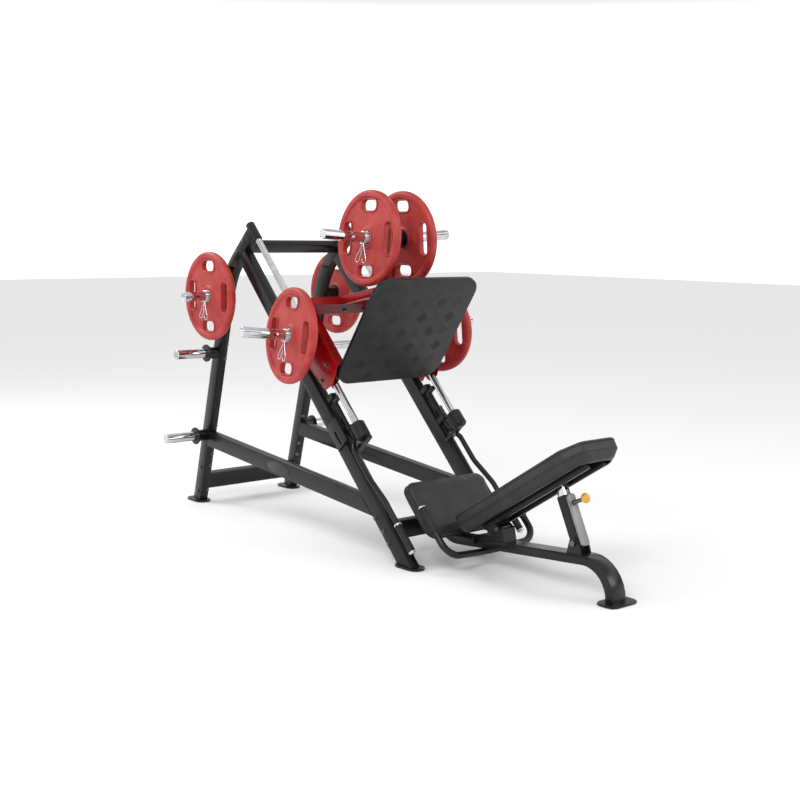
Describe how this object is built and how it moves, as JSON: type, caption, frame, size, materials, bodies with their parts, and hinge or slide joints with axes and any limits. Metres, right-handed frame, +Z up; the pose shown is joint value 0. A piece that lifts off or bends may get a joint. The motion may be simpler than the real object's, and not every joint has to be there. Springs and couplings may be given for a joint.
{
  "type": "plate-loaded leg press machine",
  "caption": "Sloping leg press: footplate carriage sliding on guide rods, weight plates with clips on horns, storage horns, seat, hinged back pad on a strut, lock levers and handle bar.",
  "frame": {"origin": "on the floor, under the centre of the machine's bounding box", "axes": "+Z up; +X from the rear uprights to the seat; a seated user faces -X, so -Y is the user's left"},
  "size_m": [2.82, 1.4336, 1.6616],
  "materials": {
    "frame_black": "semi-gloss black powder coat",
    "carriage_red": "gloss red powder coat",
    "chrome": "polished chrome",
    "plate_rubber": "matt red rubber coat",
    "black_rubber": "matt black rubber",
    "vinyl": "dark grey vinyl upholstery",
    "steel": "bright steel",
    "knob_yellow": "yellow moulded knob"
  },
  "bodies": {
    "frame": {"rear_crossmember": "frame_black", "front_crossmember": "frame_black", "top_crossmember": "frame_black", "seat_beam": "frame_black", "handle_bar": "frame_black", "seat_pad": "vinyl", "seat_board": "frame_black", "hinge_bolt": "steel", "strut_bolt": "steel", "left_upright": "frame_black", "left_rail": "frame_black", "left_side_tube": "frame_black", "left_guide_rod": "chrome", "left_bumper": "black_rubber", "left_storage_top_horn": "chrome", "left_storage_middle_horn": "chrome", "left_storage_low_horn": "chrome", "right_upright": "frame_black", "right_rail": "frame_black", "right_side_tube": "frame_black", "right_guide_rod": "chrome", "right_bumper": "black_rubber", "right_storage_top_horn": "chrome", "right_storage_middle_horn": "chrome", "right_storage_low_horn": "chrome"},
    "carriage": {"footplate_tread": "black_rubber", "footplate_board": "frame_black", "carriage_crossbar": "carriage_red", "horn_post": "carriage_red", "left_upper_bearing": "steel", "left_lower_bearing": "steel", "left_slider_channel": "carriage_red", "left_footplate_arm": "carriage_red", "left_side_horn": "chrome", "left_top_horn": "chrome", "right_upper_bearing": "steel", "right_lower_bearing": "steel", "right_slider_channel": "carriage_red", "right_footplate_arm": "carriage_red", "right_side_horn": "chrome", "right_top_horn": "chrome"},
    "back_rest": {"back_pad": "vinyl", "back_frame": "frame_black"},
    "strut_sleeve": {"strut_sleeve": "frame_black"},
    "strut_bar": {"strut_bar": "chrome"},
    "pull_knob": {"pull_knob": "knob_yellow"},
    "left_storage_top_plate": {"left_storage_top_plate": "plate_rubber"},
    "left_storage_top_clip": {"left_storage_top_clip": "steel"},
    "left_side_plate": {"left_side_plate": "plate_rubber"},
    "left_side_clip": {"left_side_clip": "steel"},
    "left_top_plate": {"left_top_plate": "plate_rubber"},
    "left_top_clip": {"left_top_clip": "steel"},
    "right_storage_top_plate": {"right_storage_top_plate": "plate_rubber"},
    "right_storage_top_clip": {"right_storage_top_clip": "steel"},
    "right_side_plate": {"right_side_plate": "plate_rubber"},
    "right_side_clip": {"right_side_clip": "steel"},
    "right_top_plate": {"right_top_plate": "plate_rubber"},
    "right_top_clip": {"right_top_clip": "steel"},
    "left_lever": {"left_lock_lever": "frame_black"},
    "right_lever": {"right_lock_lever": "frame_black"}
  },
  "joints": [
    {"name": "carriage_slide", "type": "slide", "parent": "frame", "child": "carriage", "axis": [-0.6947, 0, 0.7193], "range_m": [-0.215, 0.48]},
    {"name": "back_hinge", "type": "hinge", "parent": "frame", "child": "back_rest", "pos_m": [0.715, 0, 0.19], "axis": [0, -1, 0], "range_deg": [0, 15]},
    {"name": "strut_swing", "type": "hinge", "parent": "frame", "child": "strut_sleeve", "pos_m": [1.15, 0, 0.212], "axis": [0, -1, 0], "range_deg": [0, 5.5]},
    {"name": "strut_slide", "type": "slide", "parent": "strut_sleeve", "child": "strut_bar", "axis": [-0.433, 0, 0.9014], "range_m": [0, 0.106]},
    {"name": "knob_slide", "type": "slide", "parent": "strut_sleeve", "child": "pull_knob", "axis": [0.9014, 0, 0.433], "range_m": [0, 0.012], "stiffness_N_per_m": 800},
    {"name": "left_storage_top_plate_slide", "type": "slide", "parent": "frame", "child": "left_storage_top_plate", "axis": [0, -1, 0], "range_m": [0, 0.21]},
    {"name": "left_storage_top_clip_slide", "type": "slide", "parent": "left_storage_top_plate", "child": "left_storage_top_clip", "axis": [0, -1, 0], "range_m": [0, 0.17]},
    {"name": "left_side_plate_slide", "type": "slide", "parent": "carriage", "child": "left_side_plate", "axis": [-0.1094, -0.9885, 0.1048], "range_m": [0, 0.31]},
    {"name": "left_side_clip_slide", "type": "slide", "parent": "left_side_plate", "child": "left_side_clip", "axis": [-0.1094, -0.9885, 0.1048], "range_m": [0, 0.27]},
    {"name": "left_top_plate_slide", "type": "slide", "parent": "carriage", "child": "left_top_plate", "axis": [0, -0.9974, 0.0716], "range_m": [0, 0.32]},
    {"name": "left_top_clip_slide", "type": "slide", "parent": "left_top_plate", "child": "left_top_clip", "axis": [0, -0.9974, 0.0716], "range_m": [0, 0.285]},
    {"name": "right_storage_top_plate_slide", "type": "slide", "parent": "frame", "child": "right_storage_top_plate", "axis": [0, 1, 0], "range_m": [0, 0.21]},
    {"name": "right_storage_top_clip_slide", "type": "slide", "parent": "right_storage_top_plate", "child": "right_storage_top_clip", "axis": [0, 1, 0], "range_m": [0, 0.17]},
    {"name": "right_side_plate_slide", "type": "slide", "parent": "carriage", "child": "right_side_plate", "axis": [-0.1094, 0.9885, 0.1048], "range_m": [0, 0.31]},
    {"name": "right_side_clip_slide", "type": "slide", "parent": "right_side_plate", "child": "right_side_clip", "axis": [-0.1094, 0.9885, 0.1048], "range_m": [0, 0.27]},
    {"name": "right_top_plate_slide", "type": "slide", "parent": "carriage", "child": "right_top_plate", "axis": [0, 0.9974, 0.0716], "range_m": [0, 0.32]},
    {"name": "right_top_clip_slide", "type": "slide", "parent": "right_top_plate", "child": "right_top_clip", "axis": [0, 0.9974, 0.0716], "range_m": [0, 0.285]},
    {"name": "left_lever_turn", "type": "hinge", "parent": "frame", "child": "left_lever", "pos_m": [-0.04892, -0.295, 0.60276], "axis": [0.6947, 0, -0.7193], "range_deg": [0, 35]},
    {"name": "right_lever_turn", "type": "hinge", "parent": "frame", "child": "right_lever", "pos_m": [-0.04892, 0.295, 0.60276], "axis": [-0.6947, 0, 0.7193], "range_deg": [0, 35]}
  ],
  "couplings": [
    {"joint": "strut_swing", "follows": "back_hinge", "ratio": 0.3509},
    {"joint": "strut_slide", "follows": "back_hinge", "m_per_rad": 0.3957}
  ]
}
